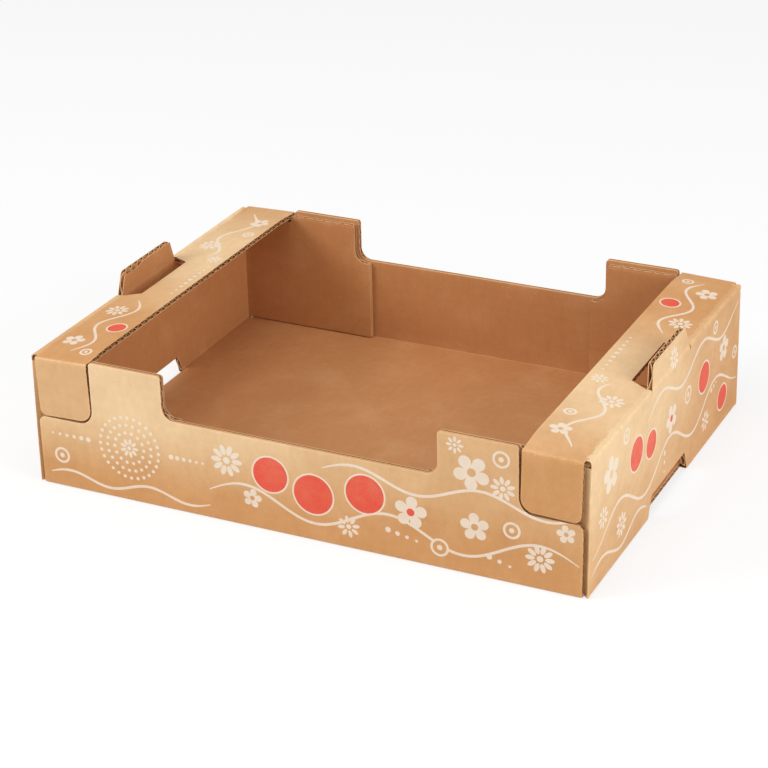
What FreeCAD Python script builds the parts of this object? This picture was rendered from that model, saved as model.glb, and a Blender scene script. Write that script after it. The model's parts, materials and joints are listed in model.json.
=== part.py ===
"""Cardboard tray box, folded from one die-cut sheet of corrugated board and glued at its corners.

The origin is on the ground under the middle of the tray. +X runs along its length and +Z is up.
"""
import FreeCAD
import Part
import math
import os

Vector = FreeCAD.Vector

# Board and folds, in millimetres
board = 4.0                 # thickness of the sheet
fold_inside = 0.5           # inner radius of every crease
fold_outside = 1.5          # outer radius of every crease
glue_line = 0.3             # thickness of the glue between two layers
kerf = 0.3                  # width of a plain cut beside the tab
layer_gap = 0.8             # room between a cut edge and the layer that it runs under or over

# Overall sizes
tray_length = 400.0         # over the outer faces of the end walls
tray_width = 300.0          # over the outer faces of the long walls
ledge_height = 94.5         # ground to the top of the ledges

# Long walls
wall_setback = 4.0          # each end of a long wall stops this far inside the end wall's outer face
shoulder_rise = 2.8         # top of the shoulders above the ledges
cutout_length = 198.0       # low middle stretch between the shoulders
cutout_depth = 28.3         # low edge below the top of the ledges
cutout_radius = 9.0         # where the low edge turns up to a shoulder
shoulder_corner = 2.0       # rounding of the shoulders' top corners

# Ledges and their end flaps
ledge_width = 44.5          # from the end wall's outer face to the ledge's inner edge
ledge_flap_drop = 42.5      # from the top of the ledge to the flap's lower edge
recess_side_gap = 2.0       # room in the recess of the long wall, beside the end flap
recess_foot_gap = 1.0       # room in the recess, below the end flap
flap_inner_corner = 9.0     # rounding of the flap's lower corner nearer the middle
flap_outer_corner = 5.0     # rounding of the flap's lower corner nearer the end
recess_corner = 11.0        # rounding inside the recess

# Corner flaps, glued behind the long walls
corner_flap_setback = 2.0   # upper end of the flap, short of the long wall's shoulder
corner_flap_rise = 0.5      # top of the flap above the ledge
corner_flap_toe = 12.0      # lower part reaches this much further under the low edge
toe_drop = 1.0              # top of the toe below the low edge
floor_relief = 2.5          # small opening where the floor's two folds meet

# Stacking tab and the notch that takes the tab of the tray below
tab_base = 76.0
tab_top = 62.0
tab_rise = 15.0             # top of the tab above the ledge
tab_corner = 3.0
notch_side_room = 2.0       # notch wider than the tab, on each side
notch_top_room = 1.0        # notch higher than the tab
notch_reach = 5.5           # notch cuts this far in from the end wall's outer face
notch_corner = 3.0

# Glue dabs
dab_length = 36.0
dab_height = 6.0
dab_pitch = 14.0            # centre to centre of the two dabs on the long wall
dab_margin = 6.0            # clear board round the dabs

# Sizes that follow from the ones above
fold_reach = fold_inside + board            # how far a fold reaches in from the outer faces
crease_length = math.pi / 2 * fold_reach    # width of a fold on the flat sheet
half_length = tray_length / 2
half_width = tray_width / 2
wall_end = half_length - wall_setback
wall_top = ledge_height + shoulder_rise
low_edge = ledge_height - cutout_depth
ledge_inner = half_length - ledge_width
ledge_outer = half_length - fold_reach
flap_bottom = ledge_height - ledge_flap_drop
recess_bottom = flap_bottom - recess_foot_gap
shoulder_outer = ledge_inner - recess_side_gap
corner_flap_face = half_width - board - glue_line
fold_end = corner_flap_face - fold_reach
corner_flap_end = cutout_length / 2 + corner_flap_setback
toe_end = corner_flap_end - corner_flap_toe
under_ledge = ledge_height - board - layer_gap
slot_depth = 2 * fold_reach + tab_rise - crease_length
notch_height = tab_rise + notch_top_room
past = 1.0                  # cutters run this far past the faces that they cut
touching = 1e-6             # points nearer than this are one point


def on_side(u, v):
    """Point of a drawing made in the plane of the long walls."""
    return Vector(u, 0, v)


def on_end(u, v):
    """Point of a drawing made in the plane of the end walls."""
    return Vector(0, u, v)


def on_floor(u, v):
    """Point of a drawing made in the plane of the floor."""
    return Vector(u, v, 0)


def rounded_wire(corners, place):
    """Closed wire through (u, v, radius) corners, each one rounded to its own radius."""
    starts = []
    edges = []
    count = len(corners)
    for index, (u, v, radius) in enumerate(corners):
        here = Vector(u, v, 0)
        to_last = (Vector(*corners[index - 1][:2], 0) - here).normalize()
        to_next = (Vector(*corners[(index + 1) % count][:2], 0) - here).normalize()
        half_angle = to_last.getAngle(to_next) / 2
        reach = radius / math.tan(half_angle)
        inward = (to_last + to_next).normalize()
        middle = here + inward * (radius / math.sin(half_angle) - radius)
        starts.append([here + to_last * reach, middle, here + to_next * reach, radius])
    for index, (first, middle, last, radius) in enumerate(starts):
        following = starts[(index + 1) % count][0]
        if radius > 0:
            bend = [place(point.x, point.y) for point in (first, middle, last)]
            edges.append(Part.Arc(*bend).toShape())
        if last.distanceToPoint(following) > touching:
            edges.append(Part.makeLine(place(last.x, last.y), place(following.x, following.y)))
    return Part.Wire(edges)


def plate(corners, place, start, through):
    """Flat solid with a rounded outline, from the point start and as thick as through."""
    face = Part.Face(rounded_wire(corners, place))
    face.translate(start)
    return face.extrude(through)


def both_ends(corners):
    """Outline of a long wall from the corners of its right half, given from the bottom up."""
    return corners + [(-u, v, radius) for u, v, radius in reversed(corners)]


def channel(width, low, high, bend_low):
    """Outline of a sheet bent twice to a right angle, with its open side up or down."""
    outer = width / 2
    inner = outer - board
    tip = high if bend_low else low
    fold = low if bend_low else high
    lining = fold + board if bend_low else fold - board
    return [(-outer, tip, 0), (-outer, fold, fold_outside),
            (outer, fold, fold_outside), (outer, tip, 0),
            (inner, tip, 0), (inner, lining, fold_inside),
            (-inner, lining, fold_inside), (-inner, tip, 0)]


def floor_and_long_walls():
    """Floor with the two long walls folded up, before the end walls join it."""
    trough = plate(channel(tray_width, 0, wall_top, True), on_end,
                   Vector(-wall_end, 0, 0), Vector(2 * wall_end, 0, 0))
    outer_corner = min(flap_outer_corner, recess_bottom / 2)
    outline = both_ends([
        (wall_end, -past, 0),
        (wall_end, recess_bottom, outer_corner),
        (shoulder_outer, recess_bottom, min(recess_corner, ledge_width / 2)),
        (shoulder_outer, wall_top, shoulder_corner),
        (cutout_length / 2, wall_top, shoulder_corner),
        (cutout_length / 2, low_edge, min(cutout_radius, cutout_depth / 2))])
    shape = trough.common(plate(outline, on_side, Vector(0, -half_width, 0), Vector(0, tray_width, 0)))
    inner_width = tray_width - 2 * board
    lip = fold_reach + past
    for side in (-1, 1):
        end_gap = Part.makeBox(lip, inner_width, lip + past)
        end_gap.translate(Vector(half_length - fold_reach, -inner_width / 2, -past))
        relief_width = half_width - board - fold_end
        relief = Part.makeBox(lip + floor_relief, relief_width, lip + past)
        relief.translate(Vector(half_length - fold_reach - floor_relief, fold_end, -past))
        tools = [end_gap, relief, relief.mirror(Vector(), Vector(0, 1, 0))]
        if side < 0:
            tools = [tool.mirror(Vector(), Vector(1, 0, 0)) for tool in tools]
        shape = shape.cut(tools)
    return shape


def end_wall():
    """Right end wall with its folds to the floor and to the ledge, which has the longer fold."""
    root = half_length - 2 * fold_reach
    face = half_length - board
    fold_foot = ledge_height - fold_reach
    top_fold = [(root, ledge_height, 0), (half_length, ledge_height, fold_outside),
                (half_length, fold_foot, 0), (face, fold_foot, 0),
                (face, ledge_height - board, fold_inside), (root, ledge_height - board, 0)]
    wall = [(root, 0, 0), (half_length, 0, fold_outside),
            (half_length, fold_foot, 0), (face, fold_foot, 0),
            (face, board, fold_inside), (root, board, 0)]
    shape = plate(wall, on_side, Vector(0, -fold_end, 0), Vector(0, 2 * fold_end, 0))
    return shape.fuse(plate(top_fold, on_side, Vector(0, -corner_flap_face, 0),
                            Vector(0, 2 * corner_flap_face, 0)))


def ledge_with_flaps():
    """Right ledge with its two end flaps folded down into the recesses of the long walls."""
    reach = ledge_outer - ledge_inner
    bent = plate(channel(tray_width, flap_bottom, ledge_height, False), on_end,
                 Vector(ledge_inner, 0, 0), Vector(reach, 0, 0))
    outline = [(ledge_inner, ledge_height + past, 0),
               (ledge_inner, flap_bottom, min(flap_inner_corner, reach / 2)),
               (ledge_outer, flap_bottom, min(flap_outer_corner, reach / 3)),
               (ledge_outer, ledge_height + past, 0)]
    return bent.common(plate(outline, on_side, Vector(0, -half_width, 0), Vector(0, tray_width, 0)))


def corner_flap():
    """Flap at the right front corner, bent from the end wall to lie behind the long wall."""
    face = half_length - board
    back = corner_flap_face - board
    bent = plate([(half_length, -fold_end, 0), (half_length, -corner_flap_face, fold_outside),
                  (toe_end, -corner_flap_face, 0), (toe_end, -back, 0),
                  (face, -back, fold_inside), (face, -fold_end, 0)],
                 on_floor, Vector(), Vector(0, 0, wall_top))
    step = ledge_inner - layer_gap
    top = ledge_height + corner_flap_rise
    toe_top = low_edge - toe_drop
    toe_bend = min(cutout_radius, corner_flap_toe - toe_drop, cutout_depth / 2)
    foot = board + layer_gap
    outline = [(half_length + past, 0, 0), (half_length + past, under_ledge, 0),
               (step, under_ledge, 0), (step, top, min(shoulder_corner, board)),
               (corner_flap_end, top, shoulder_corner), (corner_flap_end, toe_top, toe_bend),
               (toe_end, toe_top, 0), (toe_end, foot, 0),
               (ledge_outer, foot, 0), (ledge_outer, 0, 0)]
    return bent.common(plate(outline, on_side, Vector(0, -half_width, 0), Vector(0, half_width, 0)))


def stacking_tab():
    """Right tab, which stands in the plane of the end wall above the ledge."""
    outline = [(-tab_base / 2, ledge_height - fold_reach, 0),
               (tab_base / 2, ledge_height - fold_reach, 0),
               (tab_top / 2, ledge_height + tab_rise, tab_corner),
               (-tab_top / 2, ledge_height + tab_rise, tab_corner)]
    return plate(outline, on_end, Vector(half_length - board, 0, 0), Vector(board, 0, 0))


def tab_slot():
    """Opening that the right tab leaves in the fold and in the ledge."""
    base = tab_base / 2 + kerf
    inner = tab_top / 2 + kerf
    outline = [(half_length + past, -base, 0), (half_length + past, base, 0),
               (half_length - fold_reach, base, 0), (half_length - slot_depth, inner, 0),
               (half_length - slot_depth, -inner, 0), (half_length - fold_reach, -base, 0)]
    return plate(outline, on_floor, Vector(0, 0, ledge_height - fold_reach),
                 Vector(0, 0, fold_reach + past))


def stacking_notch():
    """Opening at the foot of the right end wall for the tab of the tray below."""
    base = tab_base / 2 + notch_side_room
    top = tab_top / 2 + notch_side_room
    outline = [(-base, -past, 0), (base, -past, 0), (base, 0, 0), (top, notch_height, notch_corner),
               (-top, notch_height, notch_corner), (-base, 0, 0)]
    return plate(outline, on_end, Vector(half_length - notch_reach, 0, 0), Vector(notch_reach + past, 0, 0))


def right_end():
    """Everything that is folded up and over at the right end of the floor."""
    front_flap = corner_flap()
    back_flap = front_flap.mirror(Vector(), Vector(0, 1, 0))
    shape = end_wall().fuse(ledge_with_flaps())
    shape = shape.cut([tab_slot(), stacking_notch()])
    return shape.fuse([stacking_tab(), front_flap, back_flap])


def folded_tray():
    """The whole sheet, folded to its finished form, as one solid."""
    right = right_end()
    left = right.mirror(Vector(), Vector(1, 0, 0))
    return floor_and_long_walls().fuse([right, left]).removeSplitter()


def glue_dab(middle_x, middle_z, length):
    """One flattened dab of glue with round ends, in the front glue line."""
    start = -half_width + board
    left = middle_x - length / 2
    right = middle_x + length / 2
    low = middle_z - dab_height / 2
    high = middle_z + dab_height / 2
    rounding = dab_height * 0.45
    outline = [(left, low, rounding), (right, low, rounding),
               (right, high, rounding), (left, high, rounding)]
    return plate(outline, on_side, Vector(0, start, 0), Vector(0, glue_line, 0))


def glue_dabs():
    """Two dabs behind each long wall's end and one behind each ledge flap, at all four corners."""
    wall_middle_x = (corner_flap_end + ledge_outer) / 2
    wall_middle_z = (board + recess_bottom) / 2
    flap_middle_x = (ledge_inner + ledge_outer) / 2
    flap_middle_z = (flap_bottom + under_ledge) / 2
    flap_dab = ledge_outer - ledge_inner - 2 * dab_margin
    dabs = [glue_dab(wall_middle_x, wall_middle_z - dab_pitch / 2, dab_length),
            glue_dab(wall_middle_x, wall_middle_z + dab_pitch / 2, dab_length),
            glue_dab(flap_middle_x, flap_middle_z, flap_dab)]
    for normal in (Vector(1, 0, 0), Vector(0, 1, 0)):
        dabs += [dab.mirror(Vector(), normal) for dab in dabs]
    return Part.makeCompound(dabs)


parts = {"folded_tray": folded_tray(), "glue_dabs": glue_dabs()}
os.makedirs("parts", exist_ok=True)
for name, shape in parts.items():
    shape.exportStep("parts/" + name + ".step")
    box = shape.BoundBox
    print(name, "solids", len(shape.Solids), "valid", shape.isValid(), "volume", round(shape.Volume, 1),
          "size", round(box.XLength, 2), round(box.YLength, 2), round(box.ZLength, 2))
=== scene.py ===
"""Finish of a cardboard tray box: printed kraft liners over real flutes, folded round the frame."""
import json
import logging
import math
import random
from dataclasses import dataclass, field
from enum import Enum
from typing import Callable, Optional, Sequence

import bmesh
import bpy
from mathutils import Matrix, Vector, noise
from mathutils.geometry import delaunay_2d_cdt


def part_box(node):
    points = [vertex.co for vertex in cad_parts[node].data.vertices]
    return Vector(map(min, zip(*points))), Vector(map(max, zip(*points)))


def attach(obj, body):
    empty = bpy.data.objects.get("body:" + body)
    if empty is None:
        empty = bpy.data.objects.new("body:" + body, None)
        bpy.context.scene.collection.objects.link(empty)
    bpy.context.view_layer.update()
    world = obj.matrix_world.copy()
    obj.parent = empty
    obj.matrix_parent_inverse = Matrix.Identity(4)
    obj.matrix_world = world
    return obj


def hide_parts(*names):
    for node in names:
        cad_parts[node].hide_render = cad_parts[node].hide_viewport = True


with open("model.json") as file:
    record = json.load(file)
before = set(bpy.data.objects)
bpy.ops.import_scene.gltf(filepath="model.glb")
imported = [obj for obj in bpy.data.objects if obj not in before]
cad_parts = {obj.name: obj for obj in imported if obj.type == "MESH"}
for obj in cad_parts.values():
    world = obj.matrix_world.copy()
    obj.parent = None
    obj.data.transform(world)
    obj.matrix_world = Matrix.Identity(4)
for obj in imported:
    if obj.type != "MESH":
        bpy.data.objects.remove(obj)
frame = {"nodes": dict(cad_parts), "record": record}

LOG = logging.getLogger("tray")
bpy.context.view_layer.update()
MM = 0.001
QUARTER = math.pi / 2
PETAL_POINTS = 14

Point = tuple[float, float]
Corner = tuple[float, float, float]
Colour = tuple[float, float, float, float]


def screen_colour(red: int, green: int, blue: int) -> Colour:
    """Linear colour of a surface that shows as the given 0 to 255 screen values.

    Args:
        red: Red value on screen.
        green: Green value on screen.
        blue: Blue value on screen.

    Returns:
        Linear red, green, blue and an alpha of 1.
    """
    def linear(value: int) -> float:
        """Linear light of one screen value."""
        share = value / 255
        return share / 12.92 if share <= 0.04045 else ((share + 0.055) / 1.055) ** 2.4
    return (linear(red), linear(green), linear(blue), 1.0)


class Ply(Enum):
    """The three papers of single-wall corrugated board."""

    OUTER = "outer_liner"
    MEDIUM = "fluted_medium"
    INNER = "inner_liner"


class Surface(Enum):
    """What a face of the board shows; the order is the order of material slots."""

    KRAFT = 0
    WHITE = 1
    RED = 2
    BARE_CORE = 3
    CUT = 4


class Cut(Enum):
    """What an outline does to the sheet."""

    BOARD = "board"
    HOLE = "hole"


@dataclass(frozen=True)
class Area:
    """One outline that adds board or takes it away, in millimetres on the flat sheet."""

    outline: list[Point]
    cut: Cut
    plies: tuple[Ply, ...] = (Ply.OUTER, Ply.MEDIUM, Ply.INNER)


@dataclass(frozen=True)
class Motif:
    """One printed shape; a later motif covers an earlier one."""

    outline: list[Point]
    surface: Surface


@dataclass(frozen=True)
class Board:
    """Section of the corrugated board, in millimetres."""

    thickness: float = 4.0
    liner: float = 0.42
    medium: float = 0.34
    pitch: float = 7.8
    fold_inside: float = 0.5
    fold_outside: float = 1.5
    bend_start: float = 0.3
    bend_steps: int = 4
    clearance: float = 0.05
    pinch: float = 0.15
    pinch_reach: float = 1.6

    @property
    def fold_reach(self) -> float:
        """How far a fold reaches in from the outer faces."""
        return self.fold_inside + self.thickness

    @property
    def crease(self) -> float:
        """Width of a fold on the flat sheet."""
        return QUARTER * self.fold_reach

    def bend_places(self) -> list[float]:
        """Places across a fold, from its start, at which the faces are split.

        Returns:
            Distances from the fold's start on the flat sheet.
        """
        turning = 1 - 2 * self.bend_start
        shares = [self.bend_start + turning * step / self.bend_steps for step in range(self.bend_steps + 1)]
        return [self.crease * share for share in [0.0, *shares, 1.0]]

    def turn(self, past: float, depth: float, sharpness: float = 1.0) -> Point:
        """Place in a fold to a right angle.

        Args:
            past: Distance from the fold's start on the flat sheet.
            depth: Depth from the outer face of the board.
            sharpness: How many times smaller than usual the outer radius is.

        Returns:
            Distance from the fold's start along the sheet that comes in, and distance in from its face.
        """
        share = min(1.0, past / self.crease)
        radius = self.fold_outside / sharpness
        straight = self.fold_reach - radius
        bend = min(1.0, max(0.0, (share - self.bend_start) / (1 - 2 * self.bend_start))) * QUARTER
        lead = min(1.0, share / self.bend_start) * straight
        tail = max(0.0, share - 1 + self.bend_start) / self.bend_start * straight
        outer = Vector((lead + radius * math.sin(bend), tail + radius * (1 - math.cos(bend))))
        angle = share * QUARTER
        inner = Vector((self.fold_inside * math.sin(angle),
                        self.fold_reach - self.fold_inside * math.cos(angle)))
        return tuple(outer.lerp(inner, depth / self.thickness))

    def wave(self, v: float) -> tuple[float, float]:
        """Height of the fluted paper and half its thickness, both across the board.

        Args:
            v: Place across the flutes.

        Returns:
            Depth of the paper's middle from the outer face, and half its depth there.
        """
        rise = (self.thickness - 2 * self.liner - self.medium) / 2 - self.clearance
        turn = 2 * math.pi * v / self.pitch
        slope = rise * math.cos(turn) * 2 * math.pi / self.pitch
        return self.thickness / 2 + rise * math.sin(turn), self.medium / 2 * math.hypot(1, slope)

    def depths(self, ply: Ply, v: float, rim: float) -> tuple[float, float]:
        """Depths of both faces of one paper, the visible one first.

        Args:
            ply: Which paper.
            v: Place across the flutes.
            rim: 1 at a cut edge, where the board is pinched, and 0 away from it.

        Returns:
            Depth of the visible face and of the hidden face, from the outer face of the board.
        """
        if ply is Ply.OUTER:
            pair = (0.0, self.liner)
        elif ply is Ply.INNER:
            pair = (self.thickness, self.thickness - self.liner)
        else:
            middle, half = self.wave(v)
            pair = (middle - half, middle + half)
        centre = self.thickness / 2
        squeeze = 1 - rim * self.pinch / centre
        return (centre + (pair[0] - centre) * squeeze, centre + (pair[1] - centre) * squeeze)


@dataclass(frozen=True)
class TraySizes:
    """Sizes of the folded tray, in millimetres; the overall ones come from the frame."""

    length: float
    width: float
    ledge_height: float
    tab_rise: float
    board: Board = field(default_factory=Board)
    glue_line: float = 0.3
    layer_gap: float = 0.8
    wall_setback: float = 4.0
    shoulder_rise: float = 2.8
    cutout_length: float = 198.0
    cutout_depth: float = 28.3
    cutout_radius: float = 9.0
    shoulder_corner: float = 2.0
    ledge_width: float = 44.5
    ledge_flap_drop: float = 42.5
    recess_side_gap: float = 2.0
    recess_foot_gap: float = 1.0
    flap_inner_corner: float = 9.0
    flap_outer_corner: float = 5.0
    recess_corner: float = 11.0
    corner_flap_setback: float = 2.0
    corner_flap_rise: float = 0.5
    corner_flap_toe: float = 12.0
    toe_drop: float = 1.0
    floor_relief: float = 2.5
    relief_room: float = 0.6
    tab_base: float = 76.0
    tab_top: float = 62.0
    tab_corner: float = 3.0
    kerf: float = 0.3
    notch_side_room: float = 2.0
    notch_top_room: float = 1.0
    notch_reach: float = 5.5
    notch_corner: float = 3.0

    @staticmethod
    def from_frame() -> "TraySizes":
        """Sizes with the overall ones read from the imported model.

        Returns:
            Sizes in millimetres.
        """
        low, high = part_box("folded_tray")
        mounts = {mount["name"]: mount for mount in frame["record"]["mounts"]}
        ledge = mounts["right_ledge_top"]["pos_m"][2]
        return TraySizes(length=(high[0] - low[0]) / MM, width=(high[1] - low[1]) / MM,
                         ledge_height=ledge / MM, tab_rise=(high[2] - ledge) / MM)

    @property
    def floor_end(self) -> float:
        """Half the floor's flat length."""
        return self.length / 2 - self.board.fold_reach

    @property
    def floor_side(self) -> float:
        """Half the floor's flat width."""
        return self.width / 2 - self.board.fold_reach

    @property
    def fold_end(self) -> float:
        """Half the length of the straight folds along an end."""
        return self.width / 2 - self.board.thickness - self.glue_line - self.board.fold_reach

    @property
    def end_rise(self) -> float:
        """Flat height of an end wall between its two folds."""
        return self.ledge_height - 2 * self.board.fold_reach

    @property
    def low_edge(self) -> float:
        """Height of the long walls' low middle stretch."""
        return self.ledge_height - self.cutout_depth

    @property
    def ledge_inner(self) -> float:
        """Distance of a ledge's inner edge from the middle of the tray."""
        return self.length / 2 - self.ledge_width

    @property
    def ledge_start(self) -> float:
        """Place on the flat sheet, from the floor's end, where the ledge begins."""
        return 2 * self.board.crease + self.end_rise


def rounded(corners: Sequence[Corner], step: float = 1.2) -> list[Point]:
    """Outline through the corners, each rounded to its own radius.

    Args:
        corners: Place and radius of each corner, in order.
        step: Longest chord in a rounding.

    Returns:
        Points of the closed outline.
    """
    outline: list[Point] = []
    for index, (u, v, radius) in enumerate(corners):
        here = Vector((u, v))
        if radius <= 0:
            outline.append((u, v))
            continue
        to_last = (Vector(corners[index - 1][:2]) - here).normalized()
        to_next = (Vector(corners[(index + 1) % len(corners)][:2]) - here).normalized()
        half = to_last.angle(to_next) / 2
        centre = here + (to_last + to_next).normalized() * (radius / math.sin(half))
        first = here + to_last * (radius / math.tan(half)) - centre
        last = here + to_next * (radius / math.tan(half)) - centre
        sweep = first.angle_signed(last)
        count = max(3, math.ceil(abs(sweep) * radius / step))
        for place in range(count + 1):
            turn = Matrix.Rotation(-sweep * place / count, 2)
            outline.append(tuple(centre + turn @ first))
    return outline


def smooth(share: float) -> float:
    """Share held between 0 and 1, with a soft start and end."""
    held = min(1.0, max(0.0, share))
    return held * held * (3 - 2 * held)


def box_outline(low: Point, high: Point) -> list[Point]:
    """Outline of a rectangle between two opposite corners."""
    return [(low[0], low[1]), (high[0], low[1]), (high[0], high[1]), (low[0], high[1])]


def flipped(outline: Sequence[Point], across_u: bool = False, across_v: bool = False) -> list[Point]:
    """Outline mirrored in u, in v or in both."""
    return [(-u if across_u else u, -v if across_v else v) for u, v in outline]


def disc(centre: Point, radius: float) -> list[Point]:
    """Round outline.

    Args:
        centre: Middle of the disc.
        radius: Its radius.

    Returns:
        Points of the closed outline.
    """
    fewest, per_millimetre = 20, 3
    count = max(fewest, round(radius * per_millimetre))
    turns = [2 * math.pi * place / count for place in range(count)]
    return [(centre[0] + radius * math.cos(turn), centre[1] + radius * math.sin(turn)) for turn in turns]


def stepped(outline: Sequence[Point], step: float) -> list[Point]:
    """Outline with points added on its long edges, so that the edge can bend with the board.

    Args:
        outline: Points of the closed outline.
        step: Longest edge that stays whole.

    Returns:
        Points of the same outline, with more of them.
    """
    points: list[Point] = []
    for place, end in enumerate(outline):
        start = Vector(outline[place - 1])
        count = max(1, math.ceil((Vector(end) - start).length / step))
        points += [tuple(start.lerp(Vector(end), part / count)) for part in range(1, count + 1)]
    return points


def petal(centre: Point, start: float, end: float, half_width: float, angle: float) -> list[Point]:
    """Outline of one slim petal.

    Args:
        centre: Middle of the flower.
        start: Distance from the middle where the petal begins.
        end: Distance from the middle where it ends.
        half_width: Half its width.
        angle: Direction in which it points.

    Returns:
        Points of the closed outline.
    """
    outward = Vector((math.cos(angle), math.sin(angle)))
    across = outward.orthogonal()
    middle = Vector(centre) + outward * (start + end) / 2
    turns = [2 * math.pi * place / PETAL_POINTS for place in range(PETAL_POINTS)]
    reach = (end - start) / 2
    return [tuple(middle + outward * (reach * math.cos(turn)) + across * (half_width * math.sin(turn)))
            for turn in turns]


def blossom(centre: Point, radius: float, petals: int, turn: float) -> list[Point]:
    """Outline of a plain flower with round petals.

    Args:
        centre: Middle of the flower.
        radius: Reach of a petal.
        petals: How many petals.
        turn: Angle of the first petal.

    Returns:
        Points of the closed outline.
    """
    count = petals * PETAL_POINTS
    heart, lobes, fullness = 0.42, 0.58, 0.55
    outline = []
    for place in range(count):
        angle = 2 * math.pi * place / count
        lobe = abs(math.cos(petals * angle / 2)) ** fullness
        reach = radius * (heart + lobes * lobe)
        outline.append((centre[0] + reach * math.cos(angle + turn),
                        centre[1] + reach * math.sin(angle + turn)))
    return outline


def ribbon(path: Callable[[float], Point], start: float, end: float, width: float,
           step: float = 2.5) -> list[Point]:
    """Outline of a line drawn along a path, with tapered ends.

    Args:
        path: Place on the path for each parameter.
        start: Parameter of the first end.
        end: Parameter of the last end.
        width: Width of the line.
        step: Distance between points.

    Returns:
        Points of the closed outline.
    """
    fewest, tip_share, taper_rate = 6, 0.35, 6
    count = max(fewest, round(abs(end - start) / step))
    left: list[Point] = []
    right: list[Point] = []
    for place in range(count + 1):
        share = place / count
        here = start + (end - start) * share
        nudge = (end - start) * 1e-3
        before = Vector(path(here - nudge))
        after = Vector(path(here + nudge))
        across = (after - before).normalized().orthogonal()
        taper = min(1.0, tip_share + taper_rate * min(share, 1 - share))
        middle = (before + after) / 2
        left.append(tuple(middle + across * (width / 2 * taper)))
        right.append(tuple(middle - across * (width / 2 * taper)))
    return left + right[::-1]


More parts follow.
